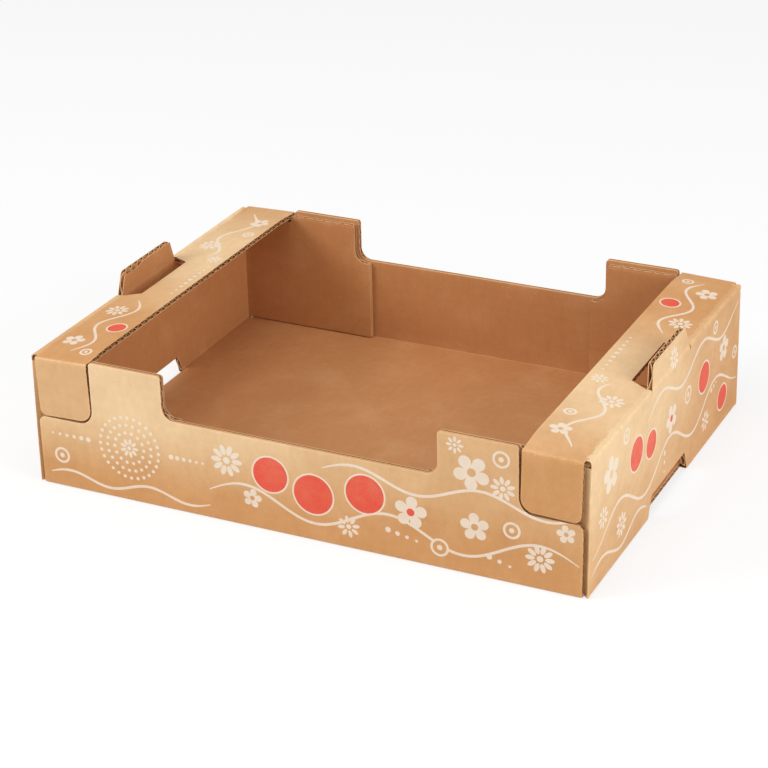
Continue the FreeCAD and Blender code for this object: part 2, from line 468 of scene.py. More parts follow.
class PrintDesign:
    """Generic print of wave lines, red spots, rings, dots and plain flowers."""

    line = 2.0
    ring = 1.7
    rim_share = 0.7
    dot_share = 0.3
    heart_share = 0.24
    daisy_heart = 0.22
    daisy_start = 0.34
    daisy_width = 0.17
    last_dot = 0.5
    rosette_heart = 1.25
    rosette_dots = 7
    rosette_dot = 1.25

    def spot(self, centre: Point, radius: float) -> list[Motif]:
        """Red spot with a thin white rim."""
        return [Motif(disc(centre, radius + self.ring * self.rim_share), Surface.WHITE),
                Motif(disc(centre, radius), Surface.RED)]

    def loop(self, centre: Point, radius: float) -> list[Motif]:
        """Open white ring with a dot in it."""
        return [Motif(disc(centre, radius), Surface.WHITE),
                Motif(disc(centre, radius - self.ring), Surface.KRAFT),
                Motif(disc(centre, radius * self.dot_share), Surface.WHITE)]

    def flower(self, centre: Point, radius: float, turn: float = 0.3, heart: bool = False) -> list[Motif]:
        """White flower with round petals and a bare or red heart."""
        middle = Surface.RED if heart else Surface.KRAFT
        return [Motif(blossom(centre, radius, 5, turn), Surface.WHITE),
                Motif(disc(centre, radius * self.heart_share), middle)]

    def daisy(self, centre: Point, radius: float, petals: int = 9, turn: float = 0.0) -> list[Motif]:
        """White daisy with slim petals and a round heart.

        Args:
            centre: Middle of the flower.
            radius: Reach of a petal.
            petals: How many petals.
            turn: Angle of the first petal.

        Returns:
            The white and red shapes, in the order that they are printed.
        """
        motifs = [Motif(disc(centre, radius * self.daisy_heart), Surface.WHITE)]
        for place in range(petals):
            angle = turn + 2 * math.pi * place / petals
            slim = petal(centre, radius * self.daisy_start, radius, radius * self.daisy_width, angle)
            motifs.append(Motif(slim, Surface.WHITE))
        return motifs

    def dots(self, start: Point, end: Point, count: int, radius: float) -> list[Motif]:
        """Row of white dots that grow smaller.

        Args:
            start: Middle of the largest dot.
            end: Middle of the smallest dot.
            count: How many dots.
            radius: Radius of the largest dot.

        Returns:
            The white and red shapes, in the order that they are printed.
        """
        motifs = []
        for place in range(count):
            share = place / max(1, count - 1)
            centre = (start[0] + (end[0] - start[0]) * share, start[1] + (end[1] - start[1]) * share)
            motifs.append(Motif(disc(centre, radius * (1 - self.last_dot * share)), Surface.WHITE))
        return motifs

    def rosette(self, centre: Point, rings: int, spacing: float) -> list[Motif]:
        """Rings of white dots round a daisy.

        Args:
            centre: Middle of the rings.
            rings: How many rings.
            spacing: Distance between two rings.

        Returns:
            The white and red shapes, in the order that they are printed.
        """
        motifs = self.daisy(centre, spacing * self.rosette_heart)
        for ring in range(2, rings + 2):
            count = self.rosette_dots * ring
            for place in range(count):
                angle = 2 * math.pi * (place + 0.5 * (ring % 2)) / count
                here = (centre[0] + ring * spacing * math.cos(angle),
                        centre[1] + ring * spacing * math.sin(angle))
                motifs.append(Motif(disc(here, self.rosette_dot), Surface.WHITE))
        return motifs

    def wave(self, start: float, end: float, height: float, swing: float, length: float,
             phase: float = 0.0) -> list[Motif]:
        """White wave line along the first direction.

        Args:
            start: Where the line begins.
            end: Where it ends.
            height: Its middle height.
            swing: How far it swings up and down.
            length: Length of one wave.
            phase: Where a wave begins.

        Returns:
            The white and red shapes, in the order that they are printed.
        """
        def path(place: float) -> Point:
            """Point of the wave."""
            return (place, height + swing * math.sin(2 * math.pi * (place - phase) / length))
        return [Motif(ribbon(path, start, end, self.line), Surface.WHITE)]

    def long_wall(self) -> list[Motif]:
        """Print of a long wall, as distance to the right and height above the ground.

        Returns:
            The white and red shapes, in the order that they are printed.
        """
        motifs = self.wave(-66, 194, 22, 9, 104, -66)
        motifs += self.wave(18, 194, 55, 6, 88, 18)
        motifs += self.wave(-190, -66, 10, 3.5, 62, -190)
        motifs += self.rosette((-126, 40), 3, 5.6)
        motifs += self.dots((-158, 40), (-186, 40), 6, 1.8)
        motifs += self.dots((-94, 40), (-70, 40), 6, 1.8)
        motifs += self.loop((-180, 24), 6)
        motifs += self.daisy((-52, 46), 11.5, 10)
        motifs += self.spot((-20, 42), 12.5)
        motifs += self.spot((11, 34), 14)
        motifs += self.flower((-34, 22), 7, 0.1)
        motifs += self.daisy((36, 16), 8, 8, 0.2)
        motifs += self.spot((48, 42), 13.5)
        motifs += self.flower((80, 36), 11.5, 0.2, True)
        motifs += self.loop((100, 15), 6.5)
        motifs += self.flower((122, 73), 12.5, 0.9)
        motifs += self.loop((142, 86), 6)
        motifs += self.daisy((111, 90), 6, 8)
        motifs += self.daisy((143, 66), 8.5, 9, 0.3)
        motifs += self.flower((124, 35), 10, 0.4)
        motifs += self.loop((149, 38), 6)
        motifs += self.daisy((168, 22), 10, 10)
        motifs += self.flower((185, 43), 6.5, 0.5)
        motifs += self.dots((64, 20), (84, 16), 4, 2.0)
        motifs += self.dots((134, 16), (148, 12), 3, 2.0)
        return motifs

    def end_and_ledge(self, start: float) -> list[Motif]:
        """Print of an end wall and its ledge.

        Args:
            start: Height on the unrolled sheet where the ledge begins.

        Returns:
            Motifs as distance to the right and height on the unrolled sheet.
        """
        motifs = self.wave(-140, 141, 34, 10, 96, -120)
        motifs += self.wave(-140, -44, 13, 5, 64, -140)
        motifs += self.wave(-46, 141, 78, 7, 84, -40)
        motifs += self.spot((-66, 62), 11.5)
        motifs += self.spot((-38, 56), 9.5)
        motifs += self.spot((70, 56), 11)
        motifs += self.spot((112, 22), 9)
        motifs += self.flower((-112, 70), 12.5, 0.4)
        motifs += self.daisy((-92, 24), 9, 9)
        motifs += self.daisy((-124, 46), 7.5, 8)
        motifs += self.flower((2, 56), 10.5, 0.7, True)
        motifs += self.daisy((6, 98), 8, 9)
        motifs += self.flower((112, 60), 9.5, 0.2)
        motifs += self.loop((36, 58), 6.5)
        motifs += self.loop((-86, 84), 5.5)
        motifs += self.loop((92, 84), 5)
        motifs += self.daisy((76, 20), 8, 8, 0.2)
        motifs += self.loop((136, 46), 5)
        motifs += self.dots((-10, 36), (-10, 22), 3, 2.0)
        motifs += self.dots((88, 38), (98, 40), 3, 1.8)
        ledge = start + 19
        motifs += self.wave(-134, -44, ledge, 7, 58, -126)
        motifs += self.wave(44, 134, ledge, 7, 58, 46)
        motifs += self.flower((-116, ledge + 9), 7.5, 0.2)
        motifs += self.daisy((-66, ledge - 6), 8.5, 9)
        motifs += self.loop((-92, ledge + 12), 4.5)
        motifs += self.daisy((-40, ledge + 12), 6, 8)
        motifs += self.spot((92, ledge + 10), 6.5)
        motifs += self.daisy((64, ledge - 7), 8.5, 9, 0.2)
        motifs += self.flower((118, ledge - 8), 8, 0.5)
        motifs += self.loop((133, ledge + 11), 4.5)
        motifs += self.dots((0, ledge + 15), (26, ledge + 15), 5, 1.8)
        motifs += self.dots((0, ledge + 15), (-26, ledge + 15), 5, 1.8)
        return motifs


class Sheet:
    """One part of the flat sheet that folds as a unit; the tray is made of five."""

    lattice = 8.0
    rubbed = 0.25
    rub_level = 1.3
    overshoot = 1.0

    def __init__(self, sizes: TraySizes) -> None:
        """Keep the sizes.

        Args:
            sizes: Sizes of the tray.
        """
        self.sizes = sizes
        self.board = sizes.board

    def areas(self) -> list[Area]:
        """Outlines of the board and its holes, in the order that they apply."""
        raise NotImplementedError

    def motifs(self) -> list[Motif]:
        """Print on the outer face, in the order that it is laid down."""
        raise NotImplementedError

    def creases(self) -> tuple[list[float], list[float]]:
        """Places in u and in v where a crease begins."""
        raise NotImplementedError

    def seams(self) -> list[tuple[float, float]]:
        """Places in u, with half their length in v, where this sheet joins the next one."""
        raise NotImplementedError

    def seam_stops(self, half: float) -> list[float]:
        """Places in v at which a join of the given half length is split, the same in both sheets.

        Args:
            half: Half the length of the join.

        Returns:
            Places in v.
        """
        rows = range(math.ceil(-half / self.lattice), math.floor(half / self.lattice) + 1)
        stops = [row * self.lattice for row in rows]
        bends = [self.sizes.fold_end + place for place in self.board.bend_places()]
        stops += [side * bend for bend in bends for side in (1, -1) if bend < half]
        return stops

    def place(self, u: float, v: float, depth: float) -> Vector:
        """Point of the folded tray, in millimetres.

        Args:
            u: Place along the flutes on the flat sheet.
            v: Place across the flutes on the flat sheet.
            depth: Depth from the outer face of the board.

        Returns:
            The point in the tray's frame.
        """
        raise NotImplementedError

    def paper_place(self, u: float, v: float) -> Point:
        """Place on the whole unfolded blank, for grain that runs on over the folds."""
        raise NotImplementedError

    def painted_sheen(self, u: float, v: float) -> float:
        """Share of painted sheen, light painted into the outer paper's colour, at a place on the flat sheet,
        from 0 to 1.
        """
        raise NotImplementedError

    def bounds(self) -> tuple[Point, Point]:
        """Lowest and highest corner of the sheet's outlines."""
        points = [point for area in self.areas() if area.cut is Cut.BOARD for point in area.outline]
        return ((min(u for u, _ in points), min(v for _, v in points)),
                (max(u for u, _ in points), max(v for _, v in points)))

    def crease_lines(self) -> list[tuple[Point, Point]]:
        """Lines along which the faces are split so that each crease bends smoothly.

        Returns:
            Both ends of each line.
        """
        low, high = self.bounds()
        lines = []
        along_v, along_u = self.creases()
        for shift in self.board.bend_places():
            for start in along_v:
                lines.append(((start + shift, low[1] - self.overshoot),
                              (start + shift, high[1] + self.overshoot)))
            for start in along_u:
                reach = math.copysign(shift, start)
                lines.append(((low[0] - self.overshoot, start + reach),
                              (high[0] + self.overshoot, start + reach)))
        return lines

    def crease_mask(self, u: float, v: float) -> float:
        """1 in a crease, falling to 0 beside it.

        Args:
            u: Place along the flutes on the flat sheet.
            v: Place across the flutes on the flat sheet.

        Returns:
            Share from 0 to 1.
        """
        along_v, along_u = self.creases()
        width = self.board.crease
        gaps = [abs(u - start - width / 2) for start in along_v]
        gaps += [abs(abs(v) - abs(start) - width / 2) for start in along_u]
        return max(0.0, min(1.0, self.rub_level - min(gaps) / (width * self.rubbed)))


class Trough(Sheet):
    """Floor with both long walls; u runs along the tray and v across it."""

    # Painted sheen: the long walls' outer paper is painted lighter towards the top and towards one shoulder.
    sheen_foot = 8.0
    sheen_rise = 62.0
    sheen_least = 0.35
    sheen_more = 0.65
    sheen_from = -150.0
    sheen_reach = 260.0

    def wall_outline(self) -> list[Point]:
        """Outline of the back long wall on the flat sheet.

        Returns:
            Points of the closed outline.
        """
        s = self.sizes
        end = s.length / 2 - s.wall_setback
        recess = s.ledge_height - s.ledge_flap_drop - s.recess_foot_gap
        shoulder = s.ledge_inner - s.recess_side_gap
        top = s.ledge_height + s.shoulder_rise
        half = s.cutout_length / 2
        right = [(end, self.fold_start(), 0), (end, self.up(recess), s.flap_outer_corner),
                 (shoulder, self.up(recess), s.recess_corner), (shoulder, self.up(top), s.shoulder_corner),
                 (half, self.up(top), s.shoulder_corner), (half, self.up(s.low_edge), s.cutout_radius)]
        return rounded(right + [(-u, v, radius) for u, v, radius in reversed(right)])

    def fold_start(self) -> float:
        """Place in v where the floor turns up."""
        return self.sizes.floor_side

    def up(self, height: float) -> float:
        """Place in v of a height on the back wall."""
        return self.sizes.floor_side + self.board.crease + height - self.board.fold_reach

    def areas(self) -> list[Area]:
        """Floor, two walls, the corner reliefs and the cuts of the stacking notches.

        Returns:
            Outlines in the order that they apply.
        """
        s = self.sizes
        wall = self.wall_outline()
        areas = [Area(box_outline((-s.floor_end, -s.floor_side), (s.floor_end, s.floor_side)), Cut.BOARD),
                 Area(wall, Cut.BOARD), Area(flipped(wall, across_v=True), Cut.BOARD)]
        relief = box_outline((s.floor_end - s.floor_relief, s.fold_end),
                             (s.length / 2 + self.overshoot, s.floor_side + s.relief_room))
        notch_half = s.tab_base / 2 + s.notch_side_room
        notch = box_outline((s.length / 2 - s.notch_reach, -notch_half),
                            (s.length / 2 + self.overshoot, notch_half))
        for across_u in (False, True):
            areas.append(Area(flipped(notch, across_u=across_u), Cut.HOLE))
            for across_v in (False, True):
                areas.append(Area(flipped(relief, across_u, across_v), Cut.HOLE))
        return areas

    def motifs(self) -> list[Motif]:
        """The long wall's print on the front wall, and turned about on the back wall.

        Returns:
            The white and red shapes, in the order that they are printed.
        """
        motifs = []
        for motif in PrintDesign().long_wall():
            back = [(-across, self.up(height)) for across, height in motif.outline]
            motifs.append(Motif(back, motif.surface))
            motifs.append(Motif(flipped(back, True, True), motif.surface))
        return motifs

    def creases(self) -> tuple[list[float], list[float]]:
        """Two creases along the long walls."""
        return [], [self.sizes.floor_side, -self.sizes.floor_side]

    def seams(self) -> list[tuple[float, float]]:
        """The floor's two ends."""
        return [(self.sizes.floor_end, self.sizes.fold_end), (-self.sizes.floor_end, self.sizes.fold_end)]

    def place(self, u: float, v: float, depth: float) -> Vector:
        """Point of the folded floor or long wall.

        Args:
            u: Place along the flutes on the flat sheet.
            v: Place across the flutes on the flat sheet.
            depth: Depth from the outer face of the board.

        Returns:
            The point in the tray's frame.
        """
        past = abs(v) - self.sizes.floor_side
        if past <= 0:
            return Vector((u, v, depth))
        along, inward = self.board.turn(past, depth)
        height = inward + max(0.0, past - self.board.crease)
        return Vector((u, math.copysign(self.sizes.floor_side + along, v), height))

    def paper_place(self, u: float, v: float) -> Point:
        """The trough holds the middle of the blank."""
        return u, v

    def painted_sheen(self, u: float, v: float) -> float:
        """Painted sheen, lightest along the top of the walls, and more at one shoulder than at the other.

        Args:
            u: Place along the flutes on the flat sheet.
            v: Place across the flutes on the flat sheet.

        Returns:
            Share from 0 to 1.
        """
        height = abs(v) - self.up(0)
        along = math.copysign(1.0, v) * u
        level = self.sheen_least + self.sheen_more * smooth((along - self.sheen_from) / self.sheen_reach)
        return smooth((height - self.sheen_foot) / self.sheen_rise) * level


class EndTurn(Sheet):
    """End wall with both its folds, its corner flaps and the stacking tab; u runs from the floor up."""

    touching = 1e-3
    corner_sharpness = 1.8
    foot_bulge = 3.5
    head_bulge = 1.5
    bulge_reach = 42.0
    recess = 1.2
    tab_lean = {1: 2.0, -1: 0.3}
    torn_seed = 31
    torn_steps = 30
    torn_overhang = 4.0
    torn_from = -6.0
    torn_fade = 9.0
    torn_least = 0.35
    torn_more = 2.2
    # Painted sheen on the end wall: painted lighter high up and towards the near side.
    sheen_least = 0.25
    sheen_more = 0.75
    sheen_climb = 1.1
    sheen_loss = 0.75
    sheen_from = -40.0
    sheen_reach = 150.0

    def __init__(self, sizes: TraySizes, side: int) -> None:
        """Keep the sizes and the side.

        Args:
            sizes: Sizes of the tray.
            side: 1 for the right end and -1 for the left one.
        """
        super().__init__(sizes)
        self.side = side

    def up(self, height: float) -> float:
        """Place in u of a height on the end wall."""
        return self.board.crease + height - self.board.fold_reach

    def inward(self, x: float) -> float:
        """Place in v of a distance along the tray on a corner flap."""
        return self.sizes.fold_end + self.board.crease + self.sizes.floor_end - x

    def corner_flap(self) -> list[Point]:
        """Outline of the back corner flap with its bend.

        Returns:
            Points of the closed outline.
        """
        s = self.sizes
        under = self.up(s.ledge_height - self.board.thickness - s.layer_gap)
        step = self.inward(s.ledge_inner - s.layer_gap)
        top = self.up(s.ledge_height + s.corner_flap_rise)
        end = s.cutout_length / 2 + s.corner_flap_setback
        toe = self.inward(end - s.corner_flap_toe)
        toe_top = self.up(s.low_edge - s.toe_drop)
        foot = self.up(self.board.thickness + s.layer_gap)
        bend = s.fold_end + self.board.crease
        free = s.fold_end + s.kerf
        base = self.up(s.kerf)
        corners = [(self.board.crease, s.fold_end, 0), (under, s.fold_end, 0), (under, step, 0),
                   (top, step, s.shoulder_corner), (top, self.inward(end), s.shoulder_corner),
                   (toe_top, self.inward(end), s.cutout_radius), (toe_top, toe, 0), (foot, toe, 0),
                   (foot, bend, 0), (base, bend, 0), (base, free, 0), (self.board.crease, free, 0)]
        return rounded(corners)

    def tab(self) -> list[Point]:
        """Outline of the stacking tab.

        Returns:
            Points of the closed outline.
        """
        s = self.sizes
        base = s.ledge_start - self.board.crease
        top = self.up(s.ledge_height + s.tab_rise)
        return rounded([(base, -s.tab_base / 2, 0), (base, s.tab_base / 2, 0),
                        (top, s.tab_top / 2, s.tab_corner), (top, -s.tab_top / 2, s.tab_corner)])

    def notch(self) -> list[Point]:
        """Outline of the stacking notch.

        Returns:
            Points of the closed outline.
        """
        s = self.sizes
        base = s.tab_base / 2 + s.notch_side_room
        top = s.tab_top / 2 + s.notch_side_room
        height = s.tab_rise + s.notch_top_room
        lower = base - (base - top) * self.board.fold_reach / height
        under = -self.overshoot
        return rounded([(under, -base, 0), (under, base, 0), (0, base, 0), (self.board.crease, lower, 0),
                        (self.up(height), top, s.notch_corner), (self.up(height), -top, s.notch_corner),
                        (self.board.crease, -lower, 0), (0, -base, 0)])

    def torn_liner(self) -> list[Point]:
        """Ragged top of the tab, where the inner liner is torn off the flutes, most at its near third.

        Returns:
            Points of the closed outline.
        """
        s = self.sizes
        top = self.up(s.ledge_height + s.tab_rise)
        half = s.tab_top / 2 + self.torn_overhang
        draw = random.Random(self.torn_seed)
        ragged = []
        for place in range(self.torn_steps + 1):
            v = -half + 2 * half * place / self.torn_steps
            deep = min(1.0, max(0.0, (self.torn_from - v) / self.torn_fade))
            drop = draw.uniform(0.0, self.torn_least)
            ragged.append((top - self.torn_least - self.torn_more * deep - drop, v))
        return ragged + [(top + self.overshoot, half), (top + self.overshoot, -half)]

    def areas(self) -> list[Area]:
        """End wall, corner flaps, the two openings and the tab.

        Returns:
            Outlines in the order that they apply.
        """
        s = self.sizes
        flap = self.corner_flap()
        slot_half = s.tab_base / 2 + s.kerf
        base = s.ledge_start - self.board.crease
        areas = [Area(box_outline((0, -s.fold_end), (s.ledge_start, s.fold_end)), Cut.BOARD),
                 Area(box_outline((base, -s.floor_side), (s.ledge_start, s.floor_side)), Cut.BOARD),
                 Area(flap, Cut.BOARD), Area(flipped(flap, across_v=True), Cut.BOARD),
                 Area(self.notch(), Cut.HOLE),
                 Area(box_outline((base, -slot_half), (s.ledge_start + self.overshoot, slot_half)),
                      Cut.HOLE),
                 Area(self.tab(), Cut.BOARD)]
        if self.side < 0:
            areas.append(Area(self.torn_liner(), Cut.HOLE, (Ply.INNER,)))
        return areas

    def motifs(self) -> list[Motif]:
        """The end's print, turned so that it reads from outside.

        Returns:
            The white and red shapes, in the order that they are printed.
        """
        rise = self.board.crease - self.board.fold_reach
        design = PrintDesign().end_and_ledge(self.sizes.ledge_start - rise)
        return [Motif([(height + rise, self.side * across) for across, height in motif.outline],
                      motif.surface) for motif in design]

    def creases(self) -> tuple[list[float], list[float]]:
        """Folds to the floor and to the ledge, and the two corner bends."""
        return ([0.0, self.sizes.ledge_start - self.board.crease],
                [self.sizes.fold_end, -self.sizes.fold_end])

    def seams(self) -> list[tuple[float, float]]:
        """Where the floor and the ledge join."""
        return [(0.0, self.sizes.fold_end), (self.sizes.ledge_start, self.sizes.floor_side)]

    def place(self, u: float, v: float, depth: float) -> Vector:
        """Point of the folded end wall, corner flap or tab.

        Args:
            u: Place along the flutes on the flat sheet.
            v: Place across the flutes on the flat sheet.
            depth: Depth from the outer face of the board.

        Returns:
            The point in the tray's frame.
        """
        s = self.sizes
        crease = self.board.crease
        past = abs(v) - s.fold_end
        fold_top = s.ledge_start - crease
        on_tab = abs(v) < s.tab_base / 2 + s.kerf / 2
        on_flap = past > self.touching and (u < fold_top - s.kerf / 2 or past > 2 * crease)
        x, y, z = s.length / 2 - depth, abs(v), self.board.fold_reach + u - crease
        if on_flap:
            along, inward = self.board.turn(past, depth, self.corner_sharpness)
            x = s.length / 2 - inward - max(0.0, past - crease)
            y = s.fold_end + along
        elif u < crease:
            along, inward = self.board.turn(max(0.0, u), depth)
            x, z = s.floor_end + along, inward
        elif u > fold_top and not on_tab:
            along, inward = self.board.turn(u - fold_top, depth)
            x, z = s.length / 2 - inward, s.ledge_height - self.board.fold_reach + along
        y += self.bulge(x, y, z)
        if on_tab and u > fold_top:
            x -= self.tab_lean[self.side] * (u - fold_top) / (self.board.fold_reach + s.tab_rise)
        return Vector((self.side * x, math.copysign(y, v), z))

    def bulge(self, x: float, y: float, z: float) -> float:
        """How far a corner bend stands out past the end of the long wall, most at the foot.

        Args:
            x: Distance from the middle along the tray.
            y: Distance from the middle across the tray.
            z: Height above the ground.

        Returns:
            Shift outward along y.
        """
        s = self.sizes
        proud = self.foot_bulge + (self.head_bulge - self.foot_bulge) * z / s.ledge_height
        outer = smooth((x - s.floor_end - self.recess) / (self.board.fold_reach - self.recess))
        return proud * outer * smooth((y - s.fold_end + self.bulge_reach) / self.bulge_reach)

    def paper_place(self, u: float, v: float) -> Point:
        """The end lies beyond the floor on the blank."""
        return self.side * (self.sizes.floor_end + u), v

    def painted_sheen(self, u: float, v: float) -> float:
        """Painted sheen, lightest high up in the near half; the corner flaps get none.

        Args:
            u: Place along the flutes on the flat sheet.
            v: Place across the flutes on the flat sheet.

        Returns:
            Share from 0 to 1.
        """
        height = u / self.sizes.ledge_start
        wall = 1 - smooth((abs(v) - self.sizes.floor_side) / self.board.fold_reach)
        high = self.sheen_least + self.sheen_more * smooth(height * self.sheen_climb)
        far = smooth((self.side * v - self.sheen_from) / self.sheen_reach)
        return wall * high * (1 - self.sheen_loss * far)


class Ledge(EndTurn):
    """Ledge with its two end flaps; u runs inward from the end wall's fold."""

    spring_back = {1: 3.4, -1: 2.9}
    held_share = 0.4
    held_reach = 28.0
    flap_swing = 0.028
    # Painted sheen on the ledge: lightest beside the slot, a fixed share on one end flap and none on the
    # other.
    flap_sheen = 0.4
    slot_sheen = 0.85
    sheen_middle = -45.0
    sheen_core = 20.0
    sheen_fade = 110.0

    def areas(self) -> list[Area]:
        """Ledge, flaps and the slot that the tab leaves.

        Returns:
            Outlines in the order that they apply.
        """
        s = self.sizes
        reach = s.floor_end - s.ledge_inner
        tip = s.floor_side + self.board.crease + s.ledge_flap_drop - self.board.fold_reach
        slot_base = s.tab_base / 2 + s.kerf
        slot_top = s.tab_top / 2 + s.kerf
        depth = self.board.fold_reach + s.tab_rise - self.board.crease
        under = -self.overshoot
        slot = [(under, -slot_base), (under, slot_base), (0, slot_base), (depth, slot_top),
                (depth, -slot_top), (0, -slot_base)]
        outline = rounded([(0, -tip, s.flap_outer_corner), (0, tip, s.flap_outer_corner),
                           (reach, tip, s.flap_inner_corner), (reach, -tip, s.flap_inner_corner)])
        return [Area(outline, Cut.BOARD), Area(slot, Cut.HOLE)]

    def motifs(self) -> list[Motif]:
        """The end's print, as far as it lies on the ledge and clear of the flaps."""
        start = self.sizes.ledge_start
        return [Motif([(u - start, v) for u, v in motif.outline], motif.surface)
                for motif in super().motifs()]

    def creases(self) -> tuple[list[float], list[float]]:
        """Folds to the two end flaps."""
        return [], [self.sizes.floor_side, -self.sizes.floor_side]

    def seams(self) -> list[tuple[float, float]]:
        """Where the end wall's fold joins."""
        return [(0.0, self.sizes.floor_side)]

    def place(self, u: float, v: float, depth: float) -> Vector:
        """Point of the ledge, which springs up a little at its inner edge, or of an end flap.

        Args:
            u: Place along the flutes on the flat sheet.
            v: Place across the flutes on the flat sheet.
            depth: Depth from the outer face of the board.

        Returns:
            The point in the tray's frame.
        """
        s = self.sizes
        past = abs(v) - s.floor_side
        x, y, z = s.floor_end - u, abs(v), s.ledge_height - depth
        if past > 0:
            along, inward = self.board.turn(past, depth)
            y, z = s.floor_side + along, s.ledge_height - inward - max(0.0, past - self.board.crease)
            x -= self.flap_swing * max(0.0, past - self.board.crease)
        free = self.held_share + (1 - self.held_share) * smooth((s.width / 2 - y) / self.held_reach)
        z += self.spring_back[self.side] * free * max(0.0, u) / (s.floor_end - s.ledge_inner)
        return Vector((self.side * x, math.copysign(y, v), z))

    def paper_place(self, u: float, v: float) -> Point:
        """The ledge lies beyond the end wall on the blank."""
        return self.side * (self.sizes.floor_end + self.sizes.ledge_start + u), v

    def painted_sheen(self, u: float, v: float) -> float:
        """Painted sheen, lightest beside the slot; the end flaps get less of it.

        Args:
            u: Place along the flutes on the flat sheet; not used.
            v: Place across the flutes on the flat sheet.

        Returns:
            Share from 0 to 1.
        """
        turned = self.side * v
        past = abs(v) - self.sizes.floor_side
        if past > self.board.crease / 2:
            return self.flap_sheen if turned > 0 else 0.0
        away = abs(turned - self.sheen_middle) - self.sheen_core
        return self.slot_sheen * (1 - smooth(away / self.sheen_fade))


class Handling:
    """Small unevenness that folding, gluing and carrying leave in the board."""

    swell = 0.5
    upward = 0.4
    settled_from = 30.0
    length = 160.0
    starts = (Vector((3.1, 0.4, 8.2)), Vector((9.6, 7.7, 1.5)), Vector((5.2, 2.9, 4.3)))

    def settle(self, point: Vector) -> Vector:
        """Point moved a little, smoothly over the whole tray and least at the ground.

        Args:
            point: Point in millimetres.

        Returns:
            The moved point.
        """
        lift = min(1.0, point.z / self.settled_from)
        shift = Vector([noise.noise(point / self.length + start) for start in self.starts])
        return point + Vector((shift.x, shift.y, shift.z * self.upward)) * (self.swell * lift)


@dataclass
class CutPiece:
    """Triangles of one sheet and ply on the flat sheet."""

    points: list[Point]
    triangles: list[tuple[int, int, int]]
    surfaces: list[Surface]


class DieCutter:
    """Cuts a sheet into triangles along its outlines, creases and print."""

    flute_lines = 6
    column_cells = 3
    touching = 1e-4

    def __init__(self, sheet: Sheet, ply: Ply) -> None:
        """Keep what is cut.

        Args:
            sheet: Part of the flat sheet.
            ply: Which of the three papers.
        """
        self.sheet = sheet
        self.ply = ply
        self.points: list[Vector] = []
        self.edges: list[tuple[int, int]] = []
        self.faces: list[list[int]] = []

    def add_line(self, start: Point, end: Point) -> None:
        """Split the sheet along a line.

        Args:
            start: One end of the line.
            end: Its other end.
        """
        first = len(self.points)
        self.points += [Vector(start), Vector(end)]
        self.edges.append((first, first + 1))

    def add_outline(self, outline: Sequence[Point]) -> int:
        """Split the sheet along a closed outline and return the outline's number.

        Args:
            outline: Points of the outline, in either sense.

        Returns:
            Number of the outline.
        """
        first = len(self.points)
        turned = outline if signed_area(outline) > 0 else outline[::-1]
        self.points += [Vector(point) for point in turned]
        self.faces.append(list(range(first, len(self.points))))
        return len(self.faces) - 1

    def add_rim(self, area: Area) -> None:
        """Split the sheet just inside a cut edge, so that the pinch stays narrow.

        Args:
            area: Outline whose edge is pinched.
        """
        inset = self.sheet.board.pinch_reach
        ring = stepped(inset_outline(area.outline, inset if area.cut is Cut.BOARD else -inset),
                       self.sheet.lattice)
        first = len(self.points)
        self.points += [Vector(point) for point in ring]
        count = len(ring)
        self.edges += [(first + place, first + (place + 1) % count) for place in range(count)]

    def add_fill(self) -> None:
        """Add points between the outlines: flute lines in the medium, a lattice in the liners."""
        low, high = self.sheet.bounds()
        for seam, half in self.sheet.seams():
            self.points += [Vector((seam, stop)) for stop in self.sheet.seam_stops(half)]
        if self.ply is Ply.MEDIUM:
            past = self.sheet.overshoot
            step = self.sheet.board.pitch / self.flute_lines
            for place in range(math.ceil(low[1] / step), math.floor(high[1] / step) + 1):
                self.add_line((low[0] - past, place * step), (high[0] + past, place * step))
            spacing = self.column_cells * self.sheet.lattice
            for place in range(math.ceil(low[0] / spacing), math.floor(high[0] / spacing) + 1):
                self.add_line((place * spacing, low[1] - past), (place * spacing, high[1] + past))
            return
        step = self.sheet.lattice
        columns = range(math.ceil(low[0] / step), math.floor(high[0] / step) + 1)
        rows = range(math.ceil(low[1] / step), math.floor(high[1] / step) + 1)
        self.points += [Vector((column * step, row * step)) for column in columns for row in rows]

    def cut(self) -> CutPiece:
        """Triangles that are board, each with what its face shows.

        Returns:
            The triangles of this sheet and paper.
        """
        areas = [area for area in self.sheet.areas() if self.ply in area.plies]
        step = self.sheet.lattice
        area_numbers = {self.add_outline(stepped(area.outline, step)): area for area in areas}
        motif_numbers = {}
        if self.ply is Ply.OUTER:
            motif_numbers = {self.add_outline(motif.outline): motif for motif in self.sheet.motifs()}
        for area in areas:
            self.add_rim(area)
        for start, end in self.sheet.crease_lines():
            self.add_line(start, end)
        self.add_fill()
        points, _, faces, _, _, origins = delaunay_2d_cdt(self.points, self.edges, self.faces, 0,
                                                          self.touching, True)
        triangles, surfaces = [], []
        for face, inside in zip(faces, origins):
            cuts = [number for number in inside if number in area_numbers]
            if not cuts or area_numbers[max(cuts)].cut is Cut.HOLE:
                continue
            printed = [number for number in inside if number in motif_numbers]
            surface = motif_numbers[max(printed)].surface if printed else Surface.KRAFT
            triangles.append(tuple(face))
            surfaces.append(surface)
        return CutPiece([tuple(point) for point in points], triangles, surfaces)


def signed_area(outline: Sequence[Point]) -> float:
    """Area of an outline, negative if it runs clockwise."""
    return sum(outline[place - 1][0] * outline[place][1] - outline[place][0] * outline[place - 1][1]
               for place in range(len(outline))) / 2


